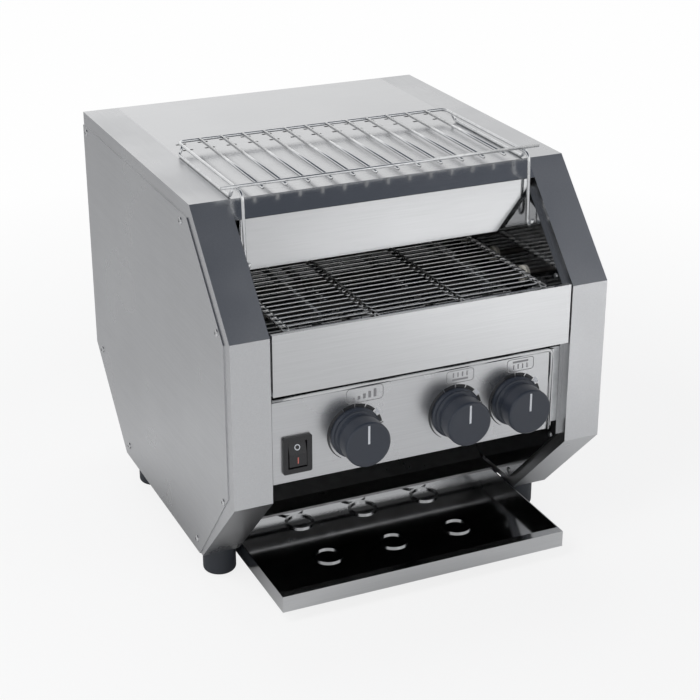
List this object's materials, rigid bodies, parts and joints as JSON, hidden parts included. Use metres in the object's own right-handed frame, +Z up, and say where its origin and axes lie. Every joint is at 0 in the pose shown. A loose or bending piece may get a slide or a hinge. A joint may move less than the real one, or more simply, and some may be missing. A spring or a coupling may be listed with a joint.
{
  "type": "conveyor toaster",
  "caption": "Countertop conveyor toaster with a wire belt, knobs, rocker switch, wire rack on top and a pull-out toast tray.",
  "frame": {"origin": "on the floor under the middle of the part's bounding box", "axes": "+X to the right seen from the front, +Y to the back, +Z up; the feed opening, controls and tray face -Y"},
  "size_m": [0.3714, 0.445, 0.385],
  "materials": {
    "brushed_stainless": "brushed",
    "polished_stainless": "polished",
    "heat_dark_steel": "dull, heat tinted",
    "zinc_steel": "satin, zinc plated",
    "bright_wire": "bright drawn wire",
    "knob_plastic": "satin",
    "black_plastic": "satin",
    "foot_rubber": "matte",
    "white_ceramic": "unglazed"
  },
  "bodies": {
    "housing": {"casing_left": "brushed_stainless", "casing_right": "brushed_stainless", "side_plate_left": "brushed_stainless", "side_plate_right": "brushed_stainless", "side_screws": "polished_stainless", "inner_wall_left": "polished_stainless", "inner_wall_right": "polished_stainless", "wall_screws": "zinc_steel", "top_cover": "brushed_stainless", "hood_plate": "polished_stainless", "front_band": "polished_stainless", "control_panel": "brushed_stainless", "control_box": "heat_dark_steel", "panel_bracket_left": "zinc_steel", "panel_bracket_right": "zinc_steel", "rear_panel": "brushed_stainless", "rear_lower_panel": "brushed_stainless", "rear_screws": "zinc_steel", "base_panel": "brushed_stainless", "chute": "heat_dark_steel", "rear_deflector": "heat_dark_steel", "upper_reflector": "polished_stainless", "upper_elements": "heat_dark_steel", "lower_elements": "heat_dark_steel", "element_ends": "white_ceramic", "conveyor_belt": "bright_wire", "belt_rails": "zinc_steel", "shaft_bushes": "black_plastic", "drive_chain": "zinc_steel", "gearmotor": "zinc_steel", "motor_bracket": "zinc_steel", "wire_rack": "bright_wire", "regulator_speed": "black_plastic", "regulator_upper": "black_plastic", "regulator_lower": "black_plastic", "rocker_bezel": "black_plastic", "terminal_block": "white_ceramic", "cable_gland": "black_plastic", "tray_runner_left": "zinc_steel", "tray_runner_right": "zinc_steel", "foot_front_left": "foot_rubber", "foot_front_right": "foot_rubber", "foot_rear_left": "foot_rubber", "foot_rear_right": "foot_rubber"},
    "front_shaft_set": {"front_shaft": "zinc_steel", "front_sprockets": "zinc_steel"},
    "rear_shaft_set": {"rear_shaft": "zinc_steel", "rear_sprockets": "zinc_steel", "driven_sprocket": "heat_dark_steel"},
    "motor_output": {"motor_sprocket": "heat_dark_steel"},
    "speed_knob": {"knob_speed": "knob_plastic"},
    "upper_heat_knob": {"knob_upper": "knob_plastic"},
    "lower_heat_knob": {"knob_lower": "knob_plastic"},
    "rocker": {"rocker": "black_plastic"},
    "tray": {"toast_tray": "polished_stainless"}
  },
  "joints": [
    {"name": "rear_shaft_turn", "type": "hinge", "parent": "housing", "child": "rear_shaft_set", "pos_m": [0, 0.1165, 0.2605], "axis": [-1, 0, 0], "continuous": true},
    {"name": "front_shaft_turn", "type": "hinge", "parent": "housing", "child": "front_shaft_set", "pos_m": [0, -0.1835, 0.2605], "axis": [-1, 0, 0], "continuous": true},
    {"name": "motor_output_turn", "type": "hinge", "parent": "housing", "child": "motor_output", "pos_m": [0.152, 0.0975, 0.178], "axis": [-1, 0, 0], "continuous": true},
    {"name": "speed_knob_turn", "type": "hinge", "parent": "housing", "child": "speed_knob", "pos_m": [-0.0642, -0.1925, 0.1685], "axis": [0, 1, 0], "range_deg": [0, 270]},
    {"name": "upper_heat_knob_turn", "type": "hinge", "parent": "housing", "child": "upper_heat_knob", "pos_m": [0.0352, -0.1925, 0.1685], "axis": [0, 1, 0], "range_deg": [0, 270]},
    {"name": "lower_heat_knob_turn", "type": "hinge", "parent": "housing", "child": "lower_heat_knob", "pos_m": [0.0966, -0.1925, 0.1685], "axis": [0, 1, 0], "range_deg": [0, 270]},
    {"name": "rocker_tilt", "type": "hinge", "parent": "housing", "child": "rocker", "pos_m": [-0.1201, -0.1895, 0.1584], "axis": [1, 0, 0], "range_deg": [0, 18]},
    {"name": "tray_slide", "type": "slide", "parent": "housing", "child": "tray", "axis": [0, -1, 0], "range_m": [0, 0.11]}
  ],
  "couplings": [
    {"joint": "front_shaft_turn", "follows": "rear_shaft_turn", "ratio": 1},
    {"joint": "motor_output_turn", "follows": "rear_shaft_turn", "ratio": 1.5}
  ]
}
